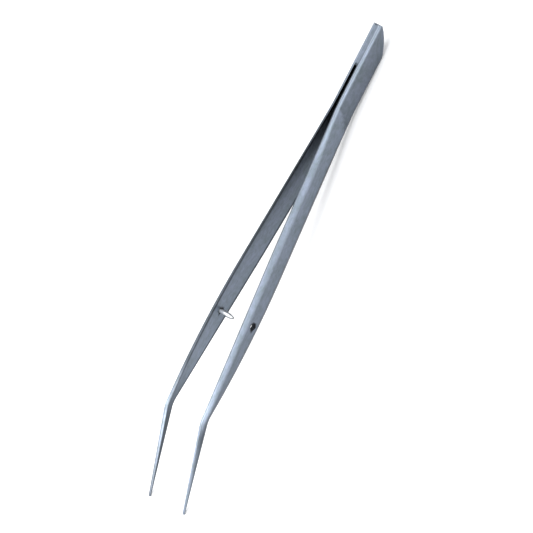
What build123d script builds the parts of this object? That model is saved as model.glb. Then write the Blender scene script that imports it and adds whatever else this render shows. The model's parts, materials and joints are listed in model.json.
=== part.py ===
from build123d import *

import os
from math import atan2, cos, radians, sin, sqrt, tan

# Precision tweezers with bent tips and a guide pin. Two bevelled steel strips are welded to
# a spacer at the head, spread apart, and taper to slender tips bent down edgewise.
#
# The tool is drawn in its own axes: station = distance from the head end towards the tips,
# side = distance from the middle plane (the hole arm is on the positive side), and
# height = distance from the strips' centre line. It rests on its two tips and on the lower
# corner of its head, so the whole tool is tilted a little about the row's Y axis.

# Strip: thin and flat at the heel, thicker with wide bevels along the shank
LENGTH = 156.0             # head end to tips, along the tool
STRIP_WIDTH = 8.9
HEEL_THICKNESS = 1.05
SHANK_THICKNESS = 1.4
HEEL_BEVEL = 0.55          # width of each of the two bevels
SHANK_BEVEL = 1.7
FRONT_BEVEL = 1.15         # at the bend
EDGE_THICKNESS = 0.5       # what the bevels leave at the strip's two long edges
FRONT_EDGE = 0.8           # the same at the bend
CROWN_LEAST = 1.0          # least width of the outer flat before the bend
SWELL_END = 46.0           # where the shank is at its full thickness

# Spread of the two arms
SPACER_THICKNESS = 1.1
SPACER_LENGTH = 14.0
SPREAD_SLOPE = 0.0776      # outward slope of each arm, side per station
SPREAD_STATION = 27.0      # where the arms turn outwards
SPREAD_SOFTNESS = 3.0      # half length of that turn
TIP_GAP = 13.4             # between the tips' inner faces
STRAIGHTEN_SOFTNESS = 25.0  # half length of the turn back to parallel

# Width taper, one long arc on each edge
TAPER_STATION = 75.0
TAPER_RADIUS = 456.0

# Bent tips
BEND_STATION = 128.4
BEND_ANGLE = 25.0
BEND_RADIUS = 8.0          # of the centre line
TIP_WIDTH = 0.8
TIP_THICKNESS = 0.65
TIP_EDGE = 0.35            # edge thickness at the tip
TIP_CROWN = 0.4            # width of the outer flat at the tip

# Serrations on the gripping faces
SERRATION_PITCH = 0.6
SERRATION_DEPTH = 0.12
SERRATION_COUNT = 14
SERRATION_MARGIN = 0.7     # from the very end to the first groove

# Head end, cut at a slant
HEAD_FLAT = 1.25           # square part at the upper edge
HEAD_SLANT = 9.6           # how far back the lower edge starts
HEAD_BULGE = 0.65          # the slant's convexity
HEAD_ROUND = 0.7           # corner radius

# Guide pin and its hole
PIN_STATION = 97.0
PIN_RADIUS = 0.8
PIN_PROUD = 5.4            # beyond the pin arm's inner face
PIN_NOSE = 2.5             # length of the ogive that ends the pin
PIN_END_RADIUS = 0.3       # flat left at the end of the ogive
PIN_PLAY = 0.01            # radial, in the pin arm
GUIDE_HOLE_RADIUS = 0.98
GUIDE_HOLE_BEVEL = 0.15     # at both mouths

# Flexure: each strip is one piece on the real tool, and bends about here
FLEX_STATION = 24.0
KNUCKLE_PLAY = 0.05        # between the rounded end of an arm and its seat in the heel

HALF_WIDTH = STRIP_WIDTH / 2
HALF_SPACER = SPACER_THICKNESS / 2
HALF_GAP = TIP_GAP / 2
CUTTER = 20.0              # larger than any cross-section

TURN_START = SPREAD_STATION - SPREAD_SOFTNESS
TURN_END = SPREAD_STATION + SPREAD_SOFTNESS

# Station at which the arms would meet their parallel tips without the soft turn
STRAIGHTEN_STATION = SPREAD_STATION + (HALF_GAP - HALF_SPACER) / SPREAD_SLOPE


def soft_turn(station, corner, softness):
    """Growth of a line that turns by a slope of one around a corner."""
    beyond = station - corner
    if beyond <= -softness:
        return 0.0
    if beyond >= softness:
        return beyond
    return (beyond + softness) ** 2 / (4 * softness)


def inner_side(station):
    """Distance of an arm's inner face from the middle plane."""
    outward = soft_turn(station, SPREAD_STATION, SPREAD_SOFTNESS)
    back = soft_turn(station, STRAIGHTEN_STATION, STRAIGHTEN_SOFTNESS)
    return HALF_SPACER + SPREAD_SLOPE * (outward - back)


def half_width(station):
    """Half the strip's width: constant, then falling along an arc."""
    beyond = max(station - TAPER_STATION, 0.0)
    return HALF_WIDTH - (TAPER_RADIUS - sqrt(TAPER_RADIUS ** 2 - beyond ** 2))


# The bend starts at this station; the bent tip is a straight taper after it.
BEND_START = BEND_STATION - BEND_RADIUS * tan(radians(BEND_ANGLE / 2))
TIP_RUN = (LENGTH - BEND_STATION) / cos(radians(BEND_ANGLE))
TIP_END_HEIGHT = -TIP_RUN * sin(radians(BEND_ANGLE))

# Resting attitude: tips' lower corners and the head's lower corner on the ground
TIP_LOW_STATION = LENGTH - TIP_WIDTH / 2 * sin(radians(BEND_ANGLE))
TIP_LOW_HEIGHT = TIP_END_HEIGHT - TIP_WIDTH / 2 * cos(radians(BEND_ANGLE))
REST_TILT = atan2(-HALF_WIDTH - TIP_LOW_HEIGHT, TIP_LOW_STATION - HEAD_SLANT)
REST_HEIGHT = HALF_WIDTH * cos(REST_TILT) - HEAD_SLANT * sin(REST_TILT)

# Ends of the tilted tool along the row's X axis, which give the middle of its length
HEAD_REACH = (HALF_WIDTH - HEAD_ROUND) * sin(REST_TILT)
TIP_FAR_STATION = LENGTH + TIP_WIDTH / 2 * sin(radians(BEND_ANGLE))
TIP_FAR_HEIGHT = TIP_END_HEIGHT + TIP_WIDTH / 2 * cos(radians(BEND_ANGLE))
TIP_REACH = -TIP_FAR_STATION * cos(REST_TILT) + TIP_FAR_HEIGHT * sin(REST_TILT)
REST_X = -(HEAD_REACH + TIP_REACH) / 2

# Row frame: +X towards the head, +Y towards the pin arm, +Z up.
TOOL = Plane(
    origin=(REST_X, 0, REST_HEIGHT),
    x_dir=(-cos(REST_TILT), 0, sin(REST_TILT)),
    z_dir=(sin(REST_TILT), 0, cos(REST_TILT)),
)
# Seen along an arm's face: the sketch's x is the station, its y the height.
FACE = Plane(origin=TOOL.origin, x_dir=TOOL.x_dir, z_dir=-TOOL.y_dir)


def ramp(station, start, end, first, last):
    """Value that goes evenly from first to last between two stations."""
    share = min(max((station - start) / (end - start), 0.0), 1.0)
    return first + (last - first) * share


def strip_size(station):
    """Half width, thickness, edge thickness and half the width of the outer flat."""
    half = half_width(station)
    thickness = ramp(station, TURN_END, SWELL_END, HEEL_THICKNESS, SHANK_THICKNESS)
    edge = ramp(station, TAPER_STATION, BEND_START, EDGE_THICKNESS, FRONT_EDGE)
    bevel = ramp(station, TURN_END, SWELL_END, HEEL_BEVEL, SHANK_BEVEL)
    bevel -= ramp(station, TAPER_STATION, BEND_START, 0, SHANK_BEVEL - FRONT_BEVEL)
    return half, thickness, edge, max(half - bevel, CROWN_LEAST / 2)


def section_plane(station, side, height, dip):
    """Plane across a strip: its x runs outwards from the inner face, its y up the width."""
    hand = 1 if side > 0 else -1
    origin = TOOL.from_local_coords((station, side, height))
    along = TOOL.x_dir * cos(dip) - TOOL.z_dir * sin(dip)
    return Plane(origin=origin, x_dir=TOOL.y_dir * hand, z_dir=along * hand)


def strip_section(plane, half, thickness, edge, crown):
    """Bevelled strip section: flat inner face, thin edges, two bevels and an outer flat."""
    with BuildSketch(plane) as section:
        Polygon(
            (0, -half),
            (edge, -half),
            (thickness, -crown),
            (thickness, crown),
            (edge, half),
            (0, half),
            align=None,
        )
    return section.sketch


def shank_section(station, hand):
    """Section of the unbent part of an arm at a station."""
    plane = section_plane(station, hand * inner_side(station), 0, 0)
    return strip_section(plane, *strip_size(station))


def bend_section(fraction, hand):
    """Section of the edgewise bend, where fraction goes from 0 at its start to 1."""
    dip = radians(BEND_ANGLE) * fraction
    station = BEND_START + BEND_RADIUS * sin(dip)
    height = -BEND_RADIUS * (1 - cos(dip))
    side = hand * (inner_side(BEND_START) + (HALF_GAP - inner_side(BEND_START)) * fraction)
    plane = section_plane(station, side, height, dip)
    return strip_section(plane, *strip_size(BEND_START))


def tip_section(hand):
    """Section at the very end of a tip."""
    plane = section_plane(LENGTH, hand * HALF_GAP, TIP_END_HEIGHT, radians(BEND_ANGLE))
    return strip_section(plane, TIP_WIDTH / 2, TIP_THICKNESS, TIP_EDGE, TIP_CROWN / 2)


def stations(first, last, count):
    """Evenly spaced values from first to last."""
    step = (last - first) / (count - 1)
    return [first + step * index for index in range(count)]


def arm_strip(hand):
    """A whole strip from head to tip. hand is 1 for the hole arm and -1 for the pin arm."""
    with BuildPart() as strip:
        # straight heel, soft outward turn, swelling, straight spread
        loft([shank_section(station, hand) for station in (0, TURN_START)], ruled=True)
        loft([shank_section(station, hand) for station in stations(TURN_START, TURN_END, 4)])
        loft([shank_section(station, hand) for station in (TURN_END, SWELL_END)], ruled=True)
        loft([shank_section(station, hand) for station in (SWELL_END, TAPER_STATION)], ruled=True)
        # taper, edgewise bend, straight tip
        loft([shank_section(station, hand) for station in stations(TAPER_STATION, BEND_START, 9)])
        loft([bend_section(fraction, hand) for fraction in stations(0, 1, 5)])
        loft([bend_section(1, hand), tip_section(hand)], ruled=True)
    return strip.part


def arm_slope(station):
    """Outward slope of an arm's inner face."""
    return inner_side(station + 0.5) - inner_side(station - 0.5)


def facing_plane(station, hand):
    """Plane on an arm's inner face, square to it, looking at the other arm."""
    lean = atan2(arm_slope(station), 1)
    origin = TOOL.from_local_coords((station, hand * inner_side(station), 0))
    normal = TOOL.x_dir * sin(lean) - TOOL.y_dir * hand * cos(lean)
    return Plane(origin=origin, x_dir=TOOL.z_dir, z_dir=normal)


def head_outline(last_station):
    """Outline of the head's face, square at the top corner and slanted at the lower one."""
    with BuildSketch(FACE) as outline:
        with BuildLine():
            flat_end = (0, HALF_WIDTH - HEAD_FLAT)
            slant_end = (HEAD_SLANT, -HALF_WIDTH)
            middle = (HEAD_SLANT / 2 - HEAD_BULGE, -HEAD_FLAT / 2 - HEAD_BULGE)
            Line(flat_end, (0, HALF_WIDTH))
            Polyline((0, HALF_WIDTH), (last_station, HALF_WIDTH), (last_station, -HALF_WIDTH), slant_end)
            ThreePointArc(slant_end, middle, flat_end)
        make_face()
        fillet(outline.vertices().group_by(Axis.X)[0], HEAD_ROUND)
    return outline.sketch


def knuckle_centre(hand):
    """Flexing axis of an arm, in the middle of the strip's thickness."""
    return (FLEX_STATION, hand * (HALF_SPACER + HEEL_THICKNESS / 2))


def heel(hand):
    """The welded end of a strip, up to the seat of the knuckle."""
    seat_radius = HEEL_THICKNESS / 2 + KNUCKLE_PLAY
    # the seat's lips stop short of the axis, so that the arm can turn
    lips = FLEX_STATION - HEEL_THICKNESS / 4
    with BuildPart() as piece:
        add(arm_strip(hand))
        extrude(head_outline(lips), amount=CUTTER, both=True, mode=Mode.INTERSECT)
        with BuildSketch(TOOL) as seat:
            with Locations(knuckle_centre(hand)):
                Circle(seat_radius)
        extrude(seat.sketch, amount=CUTTER, both=True, mode=Mode.SUBTRACT)
    return piece.part


def tip_plan(hand):
    """Plane looking along a tip's width: x runs back from the tip's end, y across the gap."""
    dip = radians(BEND_ANGLE)
    origin = TOOL.from_local_coords((LENGTH, hand * HALF_GAP, TIP_END_HEIGHT))
    back = TOOL.z_dir * sin(dip) - TOOL.x_dir * cos(dip)
    up = TOOL.z_dir * cos(dip) + TOOL.x_dir * sin(dip)
    return Plane(origin=origin, x_dir=back, z_dir=up)


def flexing_arm(hand):
    """The rest of a strip, from the rounded knuckle to the serrated tip."""
    with BuildPart() as piece:
        add(arm_strip(hand))
        with BuildSketch(TOOL) as heel_space:
            with Locations((FLEX_STATION - CUTTER, 0)):
                Rectangle(CUTTER * 2, CUTTER)
            with Locations(knuckle_centre(hand)):
                Circle(HEEL_THICKNESS / 2, mode=Mode.SUBTRACT)
        extrude(heel_space.sketch, amount=CUTTER, both=True, mode=Mode.SUBTRACT)
        with BuildSketch(tip_plan(hand)) as grooves:
            for index in range(SERRATION_COUNT):
                with Locations((SERRATION_MARGIN + SERRATION_PITCH * index, 0)):
                    RegularPolygon(SERRATION_DEPTH, 4)
        extrude(grooves.sketch, amount=CUTTER, both=True, mode=Mode.SUBTRACT)
    return piece.part


# Hole arm: the strip on the positive side
with BuildPart() as hole_arm_heel:
    add(heel(1))

with BuildPart() as hole_arm:
    add(flexing_arm(1))
    with BuildSketch(facing_plane(PIN_STATION, 1)) as guide_hole:
        Circle(GUIDE_HOLE_RADIUS)
    extrude(guide_hole.sketch, amount=SHANK_THICKNESS * 2, both=True, mode=Mode.SUBTRACT)
    hole_wall = hole_arm.faces().filter_by(GeomType.CYLINDER).sort_by(SortBy.RADIUS)[-1]
    chamfer(hole_wall.edges().filter_by(GeomType.LINE, reverse=True), GUIDE_HOLE_BEVEL)

# Pin arm: its mirror image, bored for the guide pin
with BuildPart() as pin_arm_heel:
    add(heel(-1))

with BuildPart() as pin_arm:
    add(flexing_arm(-1))
    with BuildSketch(facing_plane(PIN_STATION, -1)) as pin_bore:
        Circle(PIN_RADIUS + PIN_PLAY)
    extrude(pin_bore.sketch, amount=SHANK_THICKNESS * 2, both=True, mode=Mode.SUBTRACT)

# Guide pin: flush with the pin arm's outer face, with an ogive at its free end
with BuildPart() as guide_pin:
    root = facing_plane(PIN_STATION, -1).offset(-SHANK_THICKNESS)
    pin_end = SHANK_THICKNESS + PIN_PROUD
    with BuildSketch(Plane(origin=root.origin, x_dir=root.x_dir, z_dir=-root.y_dir)) as pin_half:
        with BuildLine():
            Polyline((0, pin_end), (0, 0), (PIN_RADIUS, 0), (PIN_RADIUS, pin_end - PIN_NOSE))
            TangentArc((PIN_RADIUS, pin_end - PIN_NOSE), (PIN_END_RADIUS, pin_end), tangent=(0, 1))
            Line((PIN_END_RADIUS, pin_end), (0, pin_end))
        make_face()
    revolve(axis=Axis(root.origin, root.z_dir))

# Spacer between the two heels
with BuildPart() as head_spacer:
    extrude(head_outline(SPACER_LENGTH), amount=HALF_SPACER, both=True)

os.makedirs("parts", exist_ok=True)
for name, piece in (
    ("hole_arm_heel", hole_arm_heel),
    ("hole_arm", hole_arm),
    ("pin_arm_heel", pin_arm_heel),
    ("pin_arm", pin_arm),
    ("guide_pin", guide_pin),
    ("head_spacer", head_spacer),
):
    piece.part.label = name
    export_step(piece.part, f"parts/{name}.step")
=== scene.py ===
import json
import math

import bmesh
import bpy
from mathutils import Matrix, Vector


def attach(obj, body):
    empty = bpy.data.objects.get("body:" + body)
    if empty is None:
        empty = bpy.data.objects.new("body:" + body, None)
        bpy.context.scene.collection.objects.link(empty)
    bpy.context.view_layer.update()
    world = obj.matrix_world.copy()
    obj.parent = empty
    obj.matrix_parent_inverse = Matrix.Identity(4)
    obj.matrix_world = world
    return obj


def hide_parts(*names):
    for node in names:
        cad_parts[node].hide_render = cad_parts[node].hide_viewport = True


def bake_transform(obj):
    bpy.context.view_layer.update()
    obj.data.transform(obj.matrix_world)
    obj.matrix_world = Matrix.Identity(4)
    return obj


# Precision tweezers: two bevelled steel strips welded to a spacer, with bent serrated tips and
# a guide pin. Lengths are in millimetres; points handed to Blender are in metres.

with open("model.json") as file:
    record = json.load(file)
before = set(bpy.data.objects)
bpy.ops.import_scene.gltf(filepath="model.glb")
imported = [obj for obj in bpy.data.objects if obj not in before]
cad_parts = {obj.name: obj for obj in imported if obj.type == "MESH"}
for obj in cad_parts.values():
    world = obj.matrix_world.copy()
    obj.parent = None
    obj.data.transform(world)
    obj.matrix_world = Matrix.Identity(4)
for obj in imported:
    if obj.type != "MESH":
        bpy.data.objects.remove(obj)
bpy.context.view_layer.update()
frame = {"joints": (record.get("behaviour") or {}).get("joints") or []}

MM = 0.001

# ---------------------------------------------------------------- the tool's own axes
# station runs from the head end to the tips, side from the middle plane to the hole arm,
# height across the strips. The frame's two hinges fix where these axes lie.
FLEX_STATION = 24.0
JOINTS = {joint["name"]: joint for joint in frame["joints"]}
HOLE_HINGE = Vector(JOINTS["hole_arm_squeeze"]["pos_m"])
PIN_HINGE = Vector(JOINTS["pin_arm_squeeze"]["pos_m"])
UP = Vector(JOINTS["pin_arm_squeeze"]["axis"]).normalized()
SIDE = (HOLE_HINGE - PIN_HINGE).normalized()
ALONG = SIDE.cross(UP)
ORIGIN = (HOLE_HINGE + PIN_HINGE) / 2 - ALONG * FLEX_STATION * MM


def tool_point(station, side, height):
    """A point of the tool's own axes, in the row frame."""
    return ORIGIN + (ALONG * station + SIDE * side + UP * height) * MM


# ---------------------------------------------------------------- sizes of the tool
LENGTH = 156.0
HALF_WIDTH = 4.45
HEEL_THICKNESS = 1.05
SHANK_THICKNESS = 1.4
HEEL_BEVEL = 0.55
SHANK_BEVEL = 1.7
FRONT_BEVEL = 1.15
EDGE_THICKNESS = 0.5
FRONT_EDGE = 0.8
HALF_CROWN_LEAST = 0.5
SWELL_END = 46.0

HALF_SPACER = 0.55
SPACER_LENGTH = 14.0
SPREAD_SLOPE = 0.0776
SPREAD_STATION = 27.0
SPREAD_SOFTNESS = 3.0
HALF_GAP = 6.7
STRAIGHTEN_SOFTNESS = 25.0
STRAIGHTEN_STATION = SPREAD_STATION + (HALF_GAP - HALF_SPACER) / SPREAD_SLOPE
TURN_START = SPREAD_STATION - SPREAD_SOFTNESS
TURN_END = SPREAD_STATION + SPREAD_SOFTNESS
CREASE_END = 35.0          # past the crease, where the rings may be further apart

TAPER_STATION = 75.0
TAPER_RADIUS = 456.0

BEND_STATION = 128.4
BEND_ANGLE = math.radians(25.0)
BEND_RADIUS = 8.0
TIP_HALF_WIDTH = 0.4
TIP_THICKNESS = 0.65
TIP_EDGE = 0.35
TIP_HALF_CROWN = 0.2
BEND_LEAD = BEND_RADIUS * math.tan(BEND_ANGLE / 2)
BEND_START = BEND_STATION - BEND_LEAD
TIP_RUN = (LENGTH - BEND_STATION) / math.cos(BEND_ANGLE) - BEND_LEAD

SERRATION_PITCH = 0.6
SERRATION_DEPTH = 0.12
SERRATION_COUNT = 14
SERRATION_MARGIN = 0.7     # from the very end to the first groove

# The head end: a square part, then a slant that is an arc from SLANT_TOP to SLANT_FOOT
HEAD_FLAT = 1.25
HEAD_SLANT = 9.6
HEAD_BULGE = 0.914
HEAD_ROUND = 0.7
SLANT_SOFTNESS = 0.24
SLANT_TOP = Vector((0.0, HALF_WIDTH - HEAD_FLAT))
SLANT_FOOT = Vector((HEAD_SLANT, -HALF_WIDTH))
SLANT_CHORD = SLANT_FOOT - SLANT_TOP
SLANT_RADIUS = (SLANT_CHORD.length_squared / 4 + HEAD_BULGE ** 2) / (2 * HEAD_BULGE)
SLANT_INWARD = Vector((-SLANT_CHORD.y, SLANT_CHORD.x)).normalized()
SLANT_CENTRE = (SLANT_TOP + SLANT_FOOT) / 2 + SLANT_INWARD * (SLANT_RADIUS - HEAD_BULGE)
LEAN_LENGTH = 16.0         # over which the rings lean to follow the slant

PIN_STATION = 97.0
PIN_RADIUS = 0.8
PIN_PROUD = 5.4
PIN_NOSE = 2.5
PIN_END_RADIUS = 0.3
GUIDE_HOLE_RADIUS = 0.98
GUIDE_HOLE_BEVEL = 0.15
PIN_BORE_RADIUS = 0.83
# The pin's tones are painted light: a highlight along its top and shade on its sides, and near its
# root a stronger highlight on top and a painted shadow on the sides.
PIN_SIDE_SHADE = 0.4
PIN_TOP_HIGHLIGHT = 1.5         # painted highlight along the top
PIN_ROOT_SIDE_SHADOW = 0.12
PIN_ROOT_TOP_HIGHLIGHT = 1.75
PIN_ROOT_REACH = 2.6       # how far from its arm the pin's tones are those of the root
PIN_BORE_BEVEL = 0.07
PIN_ROOT_SOFT = 0.07
PIN_CORE_RADIUS = 0.3      # of the innermost ring on the root's end
PIN_ROOT_STEP = 0.3        # from the root to the shank's first ring
PIN_END_SOFT = 0.1
PIN_RING_STEP = 0.5
PIN_TURN_STEPS = 4         # of each softened corner of the pin
PIN_NOSE_STEPS = 16
DRILL_FLARE = 1.5          # how far a bore's cutter widens outside the strip, at 45 degrees

# Crease between the heel's pressed flat and the ground shank, drawn only in the tones: the heel's flat
# darker, the crease itself with painted shade
CREASE_STATION = 30.5
CREASE_SLANT = 0.75        # how far it runs forward per millimetre down
CREASE_BOW = 1.2
CREASE_SOFTNESS = 0.6

# Edges softened by grinding and tumbling
EDGE_SOFT = 0.12
CROWN_SOFT = 0.6
SEAM_SOFT = 0.04           # of the edges that meet at the weld
HEAD_END_SOFT = 0.16
TIP_END_SOFT = 0.14
TIP_SOFT = 0.55            # of the inner corners, from the bend on


def mix(first, last, t):
    """Value between two values."""
    return first + (last - first) * t


def soft_turn(station, corner, softness):
    """Growth of a line that turns by a slope of one around a corner."""
    beyond = station - corner
    if beyond <= -softness:
        return 0.0
    if beyond >= softness:
        return beyond
    return (beyond + softness) ** 2 / (4 * softness)


def inner_side(station):
    """Distance of an arm's inner face from the middle plane."""
    outward = soft_turn(station, SPREAD_STATION, SPREAD_SOFTNESS)
    back = soft_turn(station, STRAIGHTEN_STATION, STRAIGHTEN_SOFTNESS)
    return HALF_SPACER + SPREAD_SLOPE * (outward - back)


def arm_lean(station):
    """Angle between an arm's inner face and the middle plane."""
    return math.atan(inner_side(station + 0.5) - inner_side(station - 0.5))


def half_width(station):
    """Half the strip's width: constant, then falling along an arc."""
    beyond = max(station - TAPER_STATION, 0.0)
    return HALF_WIDTH - (TAPER_RADIUS - math.sqrt(TAPER_RADIUS ** 2 - beyond ** 2))


def ramp(station, start, end, first, last):
    """Value that goes evenly from first to last between two stations."""
    return mix(first, last, min(max((station - start) / (end - start), 0.0), 1.0))


def strip_size(station):
    """Half width, thickness, edge thickness and half the outer flat's width of the strip."""
    half = half_width(station)
    thickness = ramp(station, TURN_END, SWELL_END, HEEL_THICKNESS, SHANK_THICKNESS)
    edge = ramp(station, TAPER_STATION, BEND_START, EDGE_THICKNESS, FRONT_EDGE)
    bevel = ramp(station, TURN_END, SWELL_END, HEEL_BEVEL, SHANK_BEVEL)
    bevel -= ramp(station, TAPER_STATION, BEND_START, 0.0, SHANK_BEVEL - FRONT_BEVEL)
    return half, thickness, edge, max(half - bevel, HALF_CROWN_LEAST)


def head_station(height):
    """Station of the slanted head end at a height."""
    over = height - (HALF_WIDTH - HEAD_ROUND)
    if over > 0:
        return HEAD_ROUND - math.sqrt(max(HEAD_ROUND ** 2 - over ** 2, 0.0))
    level = SLANT_TOP.y - soft_turn(HALF_WIDTH - height, HEAD_FLAT, SLANT_SOFTNESS)
    return SLANT_CENTRE.x - math.sqrt(SLANT_RADIUS ** 2 - (level - SLANT_CENTRE.y) ** 2)


def spaced(first, last, step):
    """Evenly spaced values from first up to but not including last."""
    count = max(round((last - first) / step), 1)
    return [mix(first, last, index / count) for index in range(count)]


# ---------------------------------------------------------------- sections
# A section is two lists of (across, height, wear), both from bottom to top: the side that
# faces the middle plane and the side that faces away. wear is 1 on an edge and 0 on a face.
# Beside it go two lists of tones: how light the steel is painted, mostly painted light and shade,
# where 1 is the steel's own tone.
ARC_STEPS = 4
BEVEL_STEPS = 3
CROWN_STEPS = 4
CROWN_WEAR = 0.1           # between a bevel and the outer flat, which meet softly
EDGE_WEAR = 0.4            # along the other edges
SOFT_LIMIT = 0.45          # largest share of a side that one softened corner takes


def softened(corner, before, after, soft, worn=EDGE_WEAR):
    """Points of a softened corner, from the side of before to the side of after."""
    to_before = before - corner
    to_after = after - corner
    start = corner + to_before * min(soft / to_before.length, SOFT_LIMIT)
    end = corner + to_after * min(soft / to_after.length, SOFT_LIMIT)
    points = []
    for step in range(ARC_STEPS + 1):
        t = step / ARC_STEPS
        across, height = start * (1 - t) ** 2 + corner * (2 * t * (1 - t)) + end * t ** 2
        points.append((across, height, worn * 4 * t * (1 - t)))
    return points


def joined(arcs, steps):
    """The arcs of softened corners, with steps of straight side between each two."""
    points = list(arcs[0])
    for arc, count in zip(arcs[1:], steps):
        last, first = points[-1], arc[0]
        for step in range(1, count):
            t = step / count
            points.append((mix(last[0], first[0], t), mix(last[1], first[1], t), 0.0))
        points += arc
    return points


def strip_section(half, thickness, edge, crown, inner_soft=EDGE_SOFT):
    """Section of a strip: a flat inner side, thin edges, two bevels and an outer flat."""
    low_inner = Vector((0.0, -half))
    low_edge = Vector((edge, -half))
    low_crown = Vector((thickness, -crown))
    high_crown = Vector((thickness, crown))
    high_edge = Vector((edge, half))
    high_inner = Vector((0.0, half))
    outer = joined(
        (
            softened(low_edge, low_inner, low_crown, EDGE_SOFT),
            softened(low_crown, low_edge, high_crown, CROWN_SOFT, CROWN_WEAR),
            softened(high_crown, low_crown, high_edge, CROWN_SOFT, CROWN_WEAR),
            softened(high_edge, high_crown, high_inner, EDGE_SOFT),
        ),
        (BEVEL_STEPS, CROWN_STEPS, BEVEL_STEPS),
    )
    inner_arcs = (
        softened(low_inner, low_edge, high_inner, inner_soft),
        softened(high_inner, low_inner, high_edge, inner_soft),
    )
    inner = joined(inner_arcs, (len(outer) - 2 * ARC_STEPS - 1,))
    return inner, outer


def plate_section(half_thickness, half, steps):
    """Section of a plate with softened edges."""
    sides = []
    for hand in (-1, 1):
        low = Vector((hand * half_thickness, -half))
        high = Vector((hand * half_thickness, half))
        inward = Vector((-hand * half_thickness, 0.0))
        low_arc = softened(low, low + inward, high, SEAM_SOFT, 0.0)
        high_arc = softened(high, low, high + inward, SEAM_SOFT, 0.0)
        sides.append(joined((low_arc, high_arc), (steps,)))
    return sides


def outer_row(low, flat, high, high_edge):
    """A value for each point up the outer side, from those of its bevels, flat and top edge."""
    turn = [step / ARC_STEPS for step in range(ARC_STEPS + 1)]
    row = [low] * (ARC_STEPS + BEVEL_STEPS)
    row += [mix(low, flat, t ** 3) for t in turn]
    row += [flat] * (CROWN_STEPS - 1)
    row += [mix(flat, high, t) for t in turn]
    return row + [high] * (BEVEL_STEPS - 1) + [mix(high, high_edge, t) for t in turn]


def inner_row(low_edge, border, face, high_edge):
    """A value for each point up the inner side, from those of its edges, borders and face."""
    arc = ARC_STEPS + 1
    face_count = len(outer_row(0, 0, 0, 0)) - 2 * arc - 2
    return [low_edge] * arc + [border] + [face] * face_count + [border] + [high_edge] * arc


# Tones along a strip: the top edge of the hole arm and of the pin arm, then the upper bevel,
# flat, lower bevel and inner face of either. The upper bevels are brighter than the flat, and
# from the turn to the bend the pin arm's top edge is the darker one. Just past the bend both
# top edges are pale and the other faces dark, and near the tip's end only the hole arm's top
# edge is still pale. The numbers are tuned to match the photo in the main view, so
# they hold part of its light and shade.
# These tones are painted light and shade. The brighter upper bevels and the pale top edges past the
# bend are painted highlights. The darker lower bevels, the pin arm's darker top edge, the inner faces
# where they darken and the dark faces past the bend are painted shade.
PAINTED_LIGHT_TONES = (
    (0.0, (0.8, 0.9, 1.48, 0.96, 0.5, 1.0)),
    (SPACER_LENGTH, (0.55, 0.9, 1.7, 0.96, 0.4, 0.5)),
    (TURN_END, (0.42, 0.3, 1.8, 0.96, 0.34, 0.5)),
    (SWELL_END, (0.55, 0.18, 1.28, 0.89, 0.32, 0.85)),
    (TAPER_STATION, (0.65, 0.28, 1.24, 0.89, 0.32, 1.0)),
    (BEND_STATION - 14, (1.1, 0.45, 1.3, 0.79, 0.32, 1.0)),
    (BEND_STATION - 3, (1.9, 1.2, 1.7, 0.6, 0.4, 0.65)),
    (BEND_STATION + 4, (3.2, 3.2, 0.5, 0.34, 0.32, 0.42)),
    (LENGTH, (3.2, 0.8, 1.1, 0.75, 0.65, 0.25)),
)
INNER_BORDER_SHADE = 0.32        # share of the face's tone in a thin line of painted shade along each of its edges
END_TONE = 0.3             # of the cut end of the head
SPACER_TONE = 0.72
HEEL_DARKENING = 0.24        # how much darker the heel's pressed flat is painted than the ground shank; along the crease up to half as much again, a painted shade


def painted_light_at(station):
    """The painted light and shade at a station."""
    for (start, first), (end, last) in zip(PAINTED_LIGHT_TONES, PAINTED_LIGHT_TONES[1:]):
        if station <= end:
            break
    return [ramp(station, start, end, *pair) for pair in zip(first, last)]


# ---------------------------------------------------------------- rings of a strip
END_STEPS = 4              # rings of a softened end
BEND_RINGS = 10
GROOVE_RINGS = 10          # to each serration


def end_steps(soft):
    """(distance from the end, shrink, wear) of a softened end's rings, from the end inwards."""
    turns = [math.pi / 2 * (1 - index / END_STEPS) for index in range(END_STEPS)]
    return [(soft * (1 - math.sin(a)), soft * (1 - math.cos(a)), math.sin(a)) for a in turns]


def shrunk(half, thickness, edge, crown, shrink):
    """A section size with every face drawn in by shrink."""
    least = 0.05
    return (
        half - shrink,
        thickness - 2 * shrink,
        max(edge - shrink, least),
        max(crown - shrink, least),
    )


def ring_points(sides, place, worn=0.0, tones=None):
    """A ring: up the inner side and down the outer one, as (station, side, height, wear, tone)."""
    inner, outer = sides
    points = inner + outer[::-1]
    tones = tones or [1.0] * len(points)
    ring = []
    for (across, height, wear), tone in zip(points, tones):
        ring.append(place(across, height) + (max(wear, worn), tone))
    return ring


def heel_share(station, height):
    """1 on the heel and 0 on the shank, and most in the curved crease between them, where the extra is
    a painted shade.
    """
    crease = CREASE_STATION - CREASE_SLANT * height - CREASE_BOW * (1 - (height / HALF_WIDTH) ** 2)
    ahead = (crease - station) / CREASE_SOFTNESS
    return min(max(ahead + 0.5, 0.0), 1.0) + max(1 - abs(ahead), 0.0)


def strip_ring(hand, size, inner_soft, place, worn, along):
    """A ring of a strip with a section size, whose tones are those at the station along.
    hand is 1 for the hole arm and -1 for the pin arm."""
    hole_edge, pin_edge, high, flat, low, face = painted_light_at(along)
    high_edge = hole_edge if hand > 0 else pin_edge
    sides = strip_section(*size, inner_soft)
    flat_share = outer_row(0.0, 1.0, 0.0, 0.0)
    tones = []
    for tone, share, point in zip(outer_row(low, flat, high, high_edge), flat_share, sides[1]):
        tones.append(tone * (1 - HEEL_DARKENING * share * heel_share(along, point[1])))
    tones = inner_row(low, INNER_BORDER_SHADE * face, face, high_edge) + tones[::-1]
    if along == 0.0:
        tones = [END_TONE] * len(tones)
    return ring_points(sides, place, worn, tones)


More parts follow.
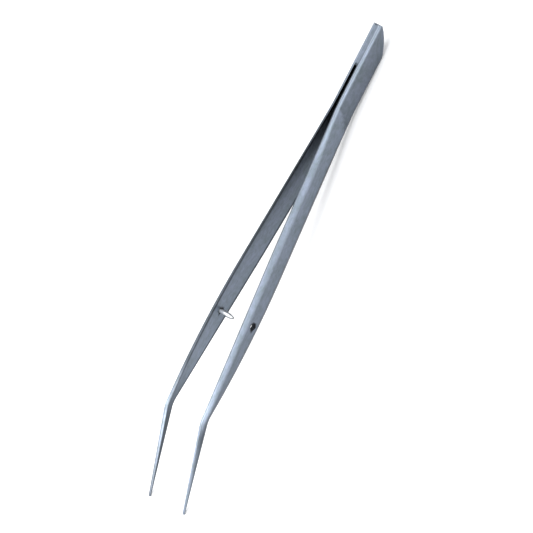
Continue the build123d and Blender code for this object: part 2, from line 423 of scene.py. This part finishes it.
def shank_ring(hand, station, shrink=0.0, worn=0.0):
    """A ring of the unbent strip. Near the head the rings lean to meet the slanted end."""

    def place(across, height):
        reached = station
        if station < LEAN_LENGTH:
            reached = mix(head_station(height), LEAN_LENGTH, station / LEAN_LENGTH)
        return reached, inner_side(reached) + across + shrink, height

    inner_soft = ramp(station, SPACER_LENGTH - 1, SPACER_LENGTH + 3, SEAM_SOFT, EDGE_SOFT)
    inner_soft += ramp(station, TAPER_STATION, BEND_START, 0.0, TIP_SOFT - EDGE_SOFT)
    size = shrunk(*strip_size(station), shrink)
    return strip_ring(hand, size, inner_soft, place, worn, station)


def bend_ring(hand, fraction):
    """A ring of the edgewise bend, where fraction goes from 0 at its start to 1."""
    turn = BEND_ANGLE * fraction
    base = mix(inner_side(BEND_START), HALF_GAP, fraction)

    def place(across, height):
        reach = BEND_RADIUS + height
        return BEND_START + reach * math.sin(turn), base + across, reach * math.cos(turn) - BEND_RADIUS

    along = mix(BEND_START, BEND_STATION + BEND_LEAD, fraction)
    return strip_ring(hand, strip_size(BEND_START), TIP_SOFT, place, 0.0, along)


def groove_depth(from_end):
    """Depth of the serrations on the gripping face, at a distance from the tip's end."""
    index = round((from_end - SERRATION_MARGIN) / SERRATION_PITCH)
    index = min(max(index, 0), SERRATION_COUNT - 1)
    centre = SERRATION_MARGIN + SERRATION_PITCH * index
    return max(SERRATION_DEPTH - abs(from_end - centre), 0.0)


def tip_ring(hand, run, shrink=0.0, worn=0.0):
    """A ring of the bent tip, run millimetres after the bend."""
    t = run / TIP_RUN
    groove = groove_depth(TIP_RUN - run)
    forward, down = math.cos(BEND_ANGLE), math.sin(BEND_ANGLE)
    start_station = BEND_START + BEND_RADIUS * down
    start_height = BEND_RADIUS * forward - BEND_RADIUS

    def place(across, height):
        station = start_station + run * forward + height * down
        side = HALF_GAP + max(across + shrink, groove)
        return station, side, start_height - run * down + height * forward

    end_size = (TIP_HALF_WIDTH, TIP_THICKNESS, TIP_EDGE, TIP_HALF_CROWN)
    size = [mix(first, last, t) for first, last in zip(strip_size(BEND_START), end_size)]
    along = start_station + run * forward
    return strip_ring(hand, shrunk(*size, shrink), TIP_SOFT, place, worn, along)


def strip_rings(hand):
    """(distance along the strip, ring) from the head end to the tip."""
    head_end = end_steps(HEAD_END_SOFT)
    rings = [(at, shank_ring(hand, at, shrink, worn)) for at, shrink, worn in head_end]
    stretches = (
        (HEAD_END_SOFT, TURN_START, 0.8),
        (TURN_START, CREASE_END, 0.3),
        (CREASE_END, TAPER_STATION, 1.5),
        (TAPER_STATION, BEND_START, 1.2),
    )
    for first, last, step in stretches:
        rings += [(at, shank_ring(hand, at)) for at in spaced(first, last, step)]
    bend_length = BEND_RADIUS * BEND_ANGLE
    for fraction in spaced(0.0, 1.0, 1 / BEND_RINGS):
        rings.append((BEND_START + bend_length * fraction, bend_ring(hand, fraction)))
    tip_start = BEND_START + bend_length
    grip_start = TIP_RUN - SERRATION_MARGIN - SERRATION_PITCH * (SERRATION_COUNT - 0.5)
    grip_end = TIP_RUN - SERRATION_MARGIN + SERRATION_PITCH / 2
    runs = spaced(0.0, grip_start, 1.0)
    runs += spaced(grip_start, grip_end, SERRATION_PITCH / GROOVE_RINGS)
    runs += [grip_end, TIP_RUN - TIP_END_SOFT]
    rings += [(tip_start + run, tip_ring(hand, run)) for run in runs]
    for at, shrink, worn in reversed(end_steps(TIP_END_SOFT)):
        rings.append((tip_start + TIP_RUN - at, tip_ring(hand, TIP_RUN - at, shrink, worn)))
    return rings


# ---------------------------------------------------------------- mesh helpers
LARGE_FACE_WEIGHT = 80     # 50 is neutral
LATHE_SEGMENTS = 64
PIN_SEGMENTS = 96


def finish_mesh(name, vertices, faces, corner_uvs, wear, tone):
    """A smooth object from points in metres, faces, one (u, v) per face corner, and two
    values per point: the wear and the tone."""
    mesh = bpy.data.meshes.new(name)
    mesh.from_pydata(vertices, [], faces)
    layer = mesh.uv_layers.new(name="grain")
    for corner, uv in zip(layer.data, corner_uvs):
        corner.uv = uv
    mesh.attributes.new("wear", "FLOAT", "POINT").data.foreach_set("value", wear)
    mesh.attributes.new("tone", "FLOAT", "POINT").data.foreach_set("value", tone)
    mesh.polygons.foreach_set("use_smooth", [True] * len(mesh.polygons))
    solid = bmesh.new()
    solid.from_mesh(mesh)
    bmesh.ops.recalc_face_normals(solid, faces=solid.faces)
    solid.to_mesh(mesh)
    solid.free()
    piece = bpy.data.objects.new(name, mesh)
    bpy.context.scene.collection.objects.link(piece)
    return piece


def weight_normals(piece):
    """Keeps large faces flat to the eye while their softened edges stay smooth."""
    modifier = piece.modifiers.new("normals", "WEIGHTED_NORMAL")
    modifier.weight = LARGE_FACE_WEIGHT


def tube(name, rings, hand=1):
    """A closed solid through rings that run up one side and down the other."""
    count = len(rings[0][1])
    vertices = []
    wear = []
    tone = []
    for _, ring in rings:
        vertices += [tool_point(point[0], point[1] * hand, point[2]) for point in ring]
        wear += [point[3] for point in ring]
        tone += [point[4] for point in ring]
    around = [0.0]
    full_ring = [Vector(point[:3]) for point in rings[len(rings) // 4][1]]
    for step in range(count):
        around.append(around[-1] + (full_ring[(step + 1) % count] - full_ring[step]).length)
    faces = []
    uvs = []
    for row in range(len(rings) - 1):
        here, there = rings[row][0], rings[row + 1][0]
        first, second = row * count, (row + 1) * count
        for step in range(count):
            after = (step + 1) % count
            faces.append((first + step, first + after, second + after, second + step))
            low, high = around[step], around[step + 1]
            uvs += [(here, low), (here, high), (there, high), (there, low)]
    for start, place in ((0, rings[0][0]), (len(vertices) - count, rings[-1][0])):
        for step in range(count // 2 - 1):
            across = count - 1 - step
            faces.append((start + step, start + step + 1, start + across - 1, start + across))
            low, high = around[step], around[step + 1]
            uvs += [(place, low), (place, high), (place + 1, high), (place + 1, low)]
    return finish_mesh(name, vertices, faces, uvs, wear, tone)


def lathe(name, profile, centre, axis, segments=LATHE_SEGMENTS):
    """A turned solid from (radius, distance, wear) rows in millimetres, closed at both ends."""
    turn = axis.to_track_quat("Z", "Y").to_matrix()
    vertices = []
    wear = []
    for radius, distance, worn in profile:
        for step in range(segments):
            angle = 2 * math.pi * step / segments
            spot = Vector((radius * math.cos(angle), radius * math.sin(angle), distance))
            vertices.append(centre + turn @ spot * MM)
            wear.append(worn)
    faces = []
    uvs = []
    girth = 2 * math.pi * max(row[0] for row in profile) / segments
    for row in range(len(profile) - 1):
        low, high = profile[row][1], profile[row + 1][1]
        first, second = row * segments, (row + 1) * segments
        for step in range(segments):
            after = (step + 1) % segments
            faces.append((first + step, first + after, second + after, second + step))
            left, right = girth * step, girth * (step + 1)
            uvs += [(left, low), (right, low), (right, high), (left, high)]
    last = (len(profile) - 1) * segments
    faces += [tuple(range(segments)), tuple(range(last, last + segments))]
    for radius, distance, _ in (profile[0], profile[-1]):
        for step in range(segments):
            angle = 2 * math.pi * step / segments
            uvs.append((radius * math.cos(angle), distance + radius * math.sin(angle)))
    return finish_mesh(name, vertices, faces, uvs, wear, [1.0] * len(wear))


def cut(piece, cutter):
    """Removes cutter's volume from piece, whose new walls get cutter's material."""
    modifier = piece.modifiers.new("cut", "BOOLEAN")
    modifier.operation = "DIFFERENCE"
    modifier.solver = "EXACT"
    modifier.material_mode = "TRANSFER"
    modifier.object = cutter
    graph = bpy.context.evaluated_depsgraph_get()
    whole = piece.data
    piece.data = bpy.data.meshes.new_from_object(piece.evaluated_get(graph))
    piece.modifiers.clear()
    bpy.data.meshes.remove(whole)
    bpy.data.objects.remove(cutter)


# ---------------------------------------------------------------- materials
class Nodes:
    """A short way to add and link a material's nodes."""

    def __init__(self, name):
        self.material = bpy.data.materials.new(name)
        self.material.use_nodes = True
        self.tree = self.material.node_tree
        self.shader = self.tree.nodes["Principled BSDF"]

    def add(self, kind, inputs=None, **settings):
        node = self.tree.nodes.new(kind)
        for key, value in settings.items():
            setattr(node, key, value)
        for key, value in (inputs or {}).items():
            if isinstance(value, bpy.types.NodeSocket):
                self.tree.links.new(value, node.inputs[key])
            else:
                node.inputs[key].default_value = value
        return node

    def link(self, output, socket):
        self.tree.links.new(output, self.shader.inputs[socket])

    def stretched_noise(self, coordinates, scale, detail=3.0, roughness=0.5):
        """Noise stretched by a scale per millimetre along and across the grain."""
        mapped = self.add("ShaderNodeMapping", {"Vector": coordinates, "Scale": scale})
        inputs = {"Vector": mapped.outputs[0], "Scale": 1.0, "Detail": detail, "Roughness": roughness}
        return self.add("ShaderNodeTexNoise", inputs).outputs["Fac"]

    def ranged(self, value, low, high, from_low=0.3, from_high=0.7):
        """value stretched from one range to another, held within it."""
        inputs = {"Value": value, "From Min": from_low, "From Max": from_high}
        inputs.update({"To Min": low, "To Max": high})
        return self.add("ShaderNodeMapRange", inputs).outputs[0]

    def math(self, operation, first, second):
        return self.add("ShaderNodeMath", {0: first, 1: second}, operation=operation).outputs[0]

    def scaled(self, colour, factor):
        inputs = {0: colour, "Scale": factor}
        return self.add("ShaderNodeVectorMath", inputs, operation="SCALE").outputs[0]

    def blend(self, factor, first, second):
        inputs = {"Factor": factor, "A": first, "B": second}
        return self.add("ShaderNodeMix", inputs, data_type="RGBA").outputs["Result"]


# Noise scales per millimetre along and across the grain
FINE_GRAIN = (0.5, 14.0, 1.0)
COARSE_GRAIN = (0.12, 2.2, 1.0)
CLOUDS = (0.16, 0.3, 1.0)
MOTTLING = (0.6, 1.0, 1.0)
CLOUD_SHARE = 0.4          # of the clouds and of the mottling in the tone
FINE_SHARE = 0.2
FINE_RELIEF = 0.7
COARSE_RELIEF = 0.3
RELIEF_DEPTH = 0.00004


def steel(name, dark, light, edge_light, rough, edge_rough, grain_depth, metallic=1.0):
    """Ground steel: fine lengthwise grain, cloudy mottled tone, and edges polished by use.
    The mesh's tone, mostly painted light and shade, scales the colour, and its wear shows the polish."""
    nodes = Nodes(name)
    grain = nodes.add("ShaderNodeUVMap", uv_map="grain").outputs[0]
    painted_light_and_tone = nodes.add("ShaderNodeAttribute", attribute_name="tone").outputs["Fac"]
    fine = nodes.stretched_noise(grain, FINE_GRAIN, 4.0, 0.6)
    coarse = nodes.stretched_noise(grain, COARSE_GRAIN)
    cloud = nodes.stretched_noise(grain, CLOUDS, 4.0, 0.6)
    wear = nodes.add("ShaderNodeAttribute", attribute_name="wear").outputs["Fac"]
    worn = nodes.math("MULTIPLY", wear, nodes.ranged(coarse, 0.35, 1.0))
    mottle = nodes.stretched_noise(grain, MOTTLING, 3.0, 0.6)
    patches = nodes.math("MULTIPLY", nodes.math("ADD", cloud, mottle), CLOUD_SHARE)
    tone = nodes.math("ADD", patches, nodes.math("MULTIPLY", fine, FINE_SHARE))
    tint = nodes.blend(nodes.ranged(tone, 0.0, 1.0, 0.38, 0.62), dark, light)
    tint = nodes.scaled(tint, painted_light_and_tone)
    edge_tint = nodes.scaled(edge_light[:3], nodes.ranged(painted_light_and_tone, 0.0, 1.0, 0.0, 1.0))
    nodes.link(nodes.blend(worn, tint, edge_tint), "Base Color")
    low, high = rough
    face_rough = nodes.ranged(nodes.math("MULTIPLY", nodes.math("ADD", fine, cloud), 0.5), low, high)
    gap = nodes.math("SUBTRACT", edge_rough, face_rough)
    nodes.link(nodes.math("ADD", face_rough, nodes.math("MULTIPLY", gap, worn)), "Roughness")
    fine_relief = nodes.math("MULTIPLY", fine, FINE_RELIEF)
    relief = nodes.math("ADD", fine_relief, nodes.math("MULTIPLY", coarse, COARSE_RELIEF))
    inputs = {"Height": relief, "Strength": grain_depth, "Distance": RELIEF_DEPTH}
    bump = nodes.add("ShaderNodeBump", inputs)
    nodes.link(bump.outputs[0], "Normal")
    nodes.shader.inputs["Metallic"].default_value = metallic
    return nodes.material


satin_steel = steel(
    "satin_steel",
    dark=(0.118, 0.146, 0.164, 1.0),
    light=(0.186, 0.212, 0.274, 1.0),
    edge_light=(0.50, 0.54, 0.58, 1.0),
    rough=(0.30, 0.42),
    edge_rough=0.24,
    grain_depth=0.35,
)
# The bore's walls are painted almost black: painted shade inside the hole.
bore_painted_shade = steel(
    "bore_painted_shade",
    dark=(0.02, 0.024, 0.03, 1.0),
    light=(0.035, 0.04, 0.05, 1.0),
    edge_light=(0.05, 0.055, 0.06, 1.0),
    rough=(0.5, 0.6),
    edge_rough=0.5,
    grain_depth=0.5,
)
bright_steel = steel(
    "bright_steel",
    dark=(0.48, 0.50, 0.53, 1.0),
    light=(0.58, 0.60, 0.62, 1.0),
    edge_light=(0.64, 0.65, 0.67, 1.0),
    rough=(0.16, 0.24),
    edge_rough=0.14,
    grain_depth=0.08,
    metallic=0.7,
)


# ---------------------------------------------------------------- the pieces
def pin_seat(hand):
    """Where the guide pin's line meets an arm's inner face, and its direction there."""
    lean = arm_lean(PIN_STATION)
    centre = tool_point(PIN_STATION, hand * inner_side(PIN_STATION), 0.0)
    return centre, ALONG * math.sin(lean) - SIDE * hand * math.cos(lean)


def make_strip(name, hand, bore, bevel):
    """A whole strip with a bore whose two mouths are bevelled. hand is 1 for the hole arm."""
    strip = tube(name, strip_rings(hand), hand)
    centre, direction = pin_seat(hand)
    mouth = bore + bevel + DRILL_FLARE
    profile = (
        (mouth, -SHANK_THICKNESS - DRILL_FLARE, 0.0),
        (bore, -SHANK_THICKNESS + bevel, 0.0),
        (bore, -bevel, 0.0),
        (mouth, DRILL_FLARE, 0.0),
    )
    drill = lathe(name + "_drill", profile, centre, direction)
    strip.data.materials.append(satin_steel)
    drill.data.materials.append(bore_painted_shade)
    cut(strip, drill)
    weight_normals(strip)
    return strip


def make_pin():
    """The guide pin: a root set flush in its arm, a plain shank and an ogive."""
    centre, direction = pin_seat(-1)
    root = -SHANK_THICKNESS
    shoulder = PIN_PROUD - PIN_NOSE
    profile = [(PIN_CORE_RADIUS, root, 0.0)]
    turns = [math.pi / 2 * step / PIN_TURN_STEPS for step in range(PIN_TURN_STEPS + 1)]
    for turn in turns:
        radius = PIN_RADIUS - PIN_ROOT_SOFT * (1 - math.sin(turn))
        profile.append((radius, root + PIN_ROOT_SOFT * (1 - math.cos(turn)), math.sin(2 * turn)))
    shank_rings = spaced(root + PIN_ROOT_STEP, shoulder, PIN_RING_STEP)
    profile += [(PIN_RADIUS, at, 0.0) for at in shank_rings]
    drop = PIN_RADIUS - PIN_END_RADIUS
    nose_radius = (drop ** 2 + PIN_NOSE ** 2) / (2 * drop)
    for step in range(PIN_NOSE_STEPS + 1):
        reach = (PIN_NOSE - PIN_END_SOFT) * step / PIN_NOSE_STEPS
        radius = PIN_RADIUS - (nose_radius - math.sqrt(nose_radius ** 2 - reach ** 2))
        profile.append((radius, shoulder + reach, 0.0))
    for turn in turns[1:]:
        radius = PIN_END_RADIUS - PIN_END_SOFT * (1 - math.cos(turn))
        at = PIN_PROUD - PIN_END_SOFT * (1 - math.sin(turn))
        profile.append((radius, at, math.sin(2 * turn)))
    pin = lathe("guide_pin_turned", profile, centre, direction, PIN_SEGMENTS)
    # Painted on the pin: a highlight along its top and shade on its sides, with a painted shadow
    # beside the root.
    tone = []
    for vertex in pin.data.vertices:
        place = (vertex.co - centre) / MM
        reach = place.dot(direction)
        side_shade = ramp(reach, 0.0, PIN_ROOT_REACH, PIN_ROOT_SIDE_SHADOW, PIN_SIDE_SHADE)
        top_highlight = ramp(reach, 0.0, PIN_ROOT_REACH, PIN_ROOT_TOP_HIGHLIGHT, PIN_TOP_HIGHLIGHT)
        tone.append(mix(side_shade, top_highlight, max(place.dot(UP) / PIN_RADIUS, 0.0) ** 2))
    pin.data.attributes["tone"].data.foreach_set("value", tone)
    weight_normals(pin)
    return pin


def make_spacer():
    """The filler between the strips: it follows their slanted end and ends in a hollow."""
    inset = 0.02
    hollow = 0.6
    side_steps = 60
    ring_step = 1.0
    hollow_widths = (0.85, 0.65, 0.4, 0.15)     # shares of the plate's thickness, going in
    sides = plate_section(HALF_SPACER, HALF_WIDTH - inset, side_steps)

    def ring(t, shrink, worn, narrow):
        back = hollow * (1 - narrow ** 2)

        def place(across, height):
            start = head_station(height) + inset
            side = across * narrow * (1 - shrink / HALF_SPACER)
            return mix(start, SPACER_LENGTH, t) - back, side, height * (1 - shrink / HALF_WIDTH)

        return ring_points(sides, place, worn)

    rings = []
    for at, shrink, _ in end_steps(SEAM_SOFT):
        rings.append((at, ring(at / SPACER_LENGTH, shrink, 0.0, 1.0)))
    for at in spaced(SEAM_SOFT, SPACER_LENGTH, ring_step) + [SPACER_LENGTH]:
        rings.append((at, ring(at / SPACER_LENGTH, 0.0, 0.0, 1.0)))
    for narrow in hollow_widths:
        rings.append((SPACER_LENGTH + 1 - narrow, ring(1.0, 0.0, 0.0, narrow)))
    spacer = tube("spacer_plate", rings)
    tones = [SPACER_TONE] * len(spacer.data.vertices)
    spacer.data.attributes["tone"].data.foreach_set("value", tones)
    weight_normals(spacer)
    return spacer


hole_strip = make_strip("hole_strip", 1, GUIDE_HOLE_RADIUS, GUIDE_HOLE_BEVEL)
pin_strip = make_strip("pin_strip", -1, PIN_BORE_RADIUS, PIN_BORE_BEVEL)
spacer = make_spacer()
guide_pin = make_pin()
spacer.data.materials.append(satin_steel)
guide_pin.data.materials.append(bright_steel)

# ---------------------------------------------------------------- pieces join the frame
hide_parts("hole_arm_heel", "hole_arm")
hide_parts("pin_arm_heel", "pin_arm")
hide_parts("head_spacer")
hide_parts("guide_pin")
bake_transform(hole_strip)
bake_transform(pin_strip)
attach(spacer, "head")
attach(guide_pin, "pin_side")


# ---------------------------------------------------------------- floor, light and camera
def make_floor():
    """A plain pale matt floor."""
    reach = 3.0
    signs = ((-1, -1), (1, -1), (1, 1), (-1, 1))
    corners = [(reach * x, reach * y, 0.0) for x, y in signs]
    mesh = bpy.data.meshes.new("floor")
    mesh.from_pydata(corners, [], [(0, 1, 2, 3)])
    floor = bpy.data.objects.new("floor", mesh)
    bpy.context.scene.collection.objects.link(floor)
    nodes = Nodes("matt_white")
    nodes.shader.inputs["Base Color"].default_value = (0.9, 0.9, 0.9, 1.0)
    nodes.shader.inputs["Roughness"].default_value = 1.0
    nodes.shader.inputs["Specular IOR Level"].default_value = 0.0
    mesh.materials.append(nodes.material)


def make_light(name, spot, width, height, radiance):
    """A rectangular softbox that looks at the tool."""
    lamp = bpy.data.lights.new(name, "AREA")
    lamp.shape = "RECTANGLE"
    lamp.size = width
    lamp.size_y = height
    lamp.energy = radiance * math.pi * width * height
    light = bpy.data.objects.new(name, lamp)
    light.location = spot
    light.rotation_euler = Vector(spot).to_track_quat("Z", "Y").to_euler()
    bpy.context.scene.collection.objects.link(light)


def make_world(radiance):
    """Even light from all round."""
    world = bpy.data.worlds.new("studio")
    world.use_nodes = True
    background = world.node_tree.nodes["Background"]
    background.inputs["Color"].default_value = (0.97, 0.98, 1.0, 1.0)
    background.inputs["Strength"].default_value = radiance
    bpy.context.scene.world = world


CAMERA_ELEVATION = math.radians(55.2)
CAMERA_ROLL = math.radians(62.8)
CAMERA_DISTANCE = 2500.0
FRAME_WIDTH = 158.2        # what the picture takes in at the tool
AIM_STATION = 79.1
AIM_ASIDE = 1.3            # square to the tool's length in the picture


def make_camera():
    """A long lens that looks down on the tool, which runs down the picture."""
    toward = SIDE * math.cos(CAMERA_ELEVATION) + UP * math.sin(CAMERA_ELEVATION)
    lift = UP * math.cos(CAMERA_ELEVATION) - SIDE * math.sin(CAMERA_ELEVATION)
    right = -ALONG * math.cos(CAMERA_ROLL) - lift * math.sin(CAMERA_ROLL)
    upward = -ALONG * math.sin(CAMERA_ROLL) + lift * math.cos(CAMERA_ROLL)
    aside = right * math.sin(CAMERA_ROLL) - upward * math.cos(CAMERA_ROLL)
    aim = tool_point(AIM_STATION, 0.0, 0.0) + aside * AIM_ASIDE * MM
    data = bpy.data.cameras.new("camera")
    data.sensor_width = 36.0
    data.lens = data.sensor_width * CAMERA_DISTANCE / FRAME_WIDTH
    camera = bpy.data.objects.new("camera", data)
    camera.matrix_world = Matrix((right, upward, toward)).transposed().to_4x4()
    camera.location = aim + toward * CAMERA_DISTANCE * MM
    bpy.context.scene.collection.objects.link(camera)
    bpy.context.scene.camera = camera


make_floor()
make_world(1.0)
make_light("front_box", (-0.5, -1.2, 0.35), 1.8, 0.7, 2.7)
make_light("top_box", (0.0, 0.3, 1.5), 1.8, 1.4, 3.2)
make_camera()
bpy.context.scene.view_settings.view_transform = "Standard"
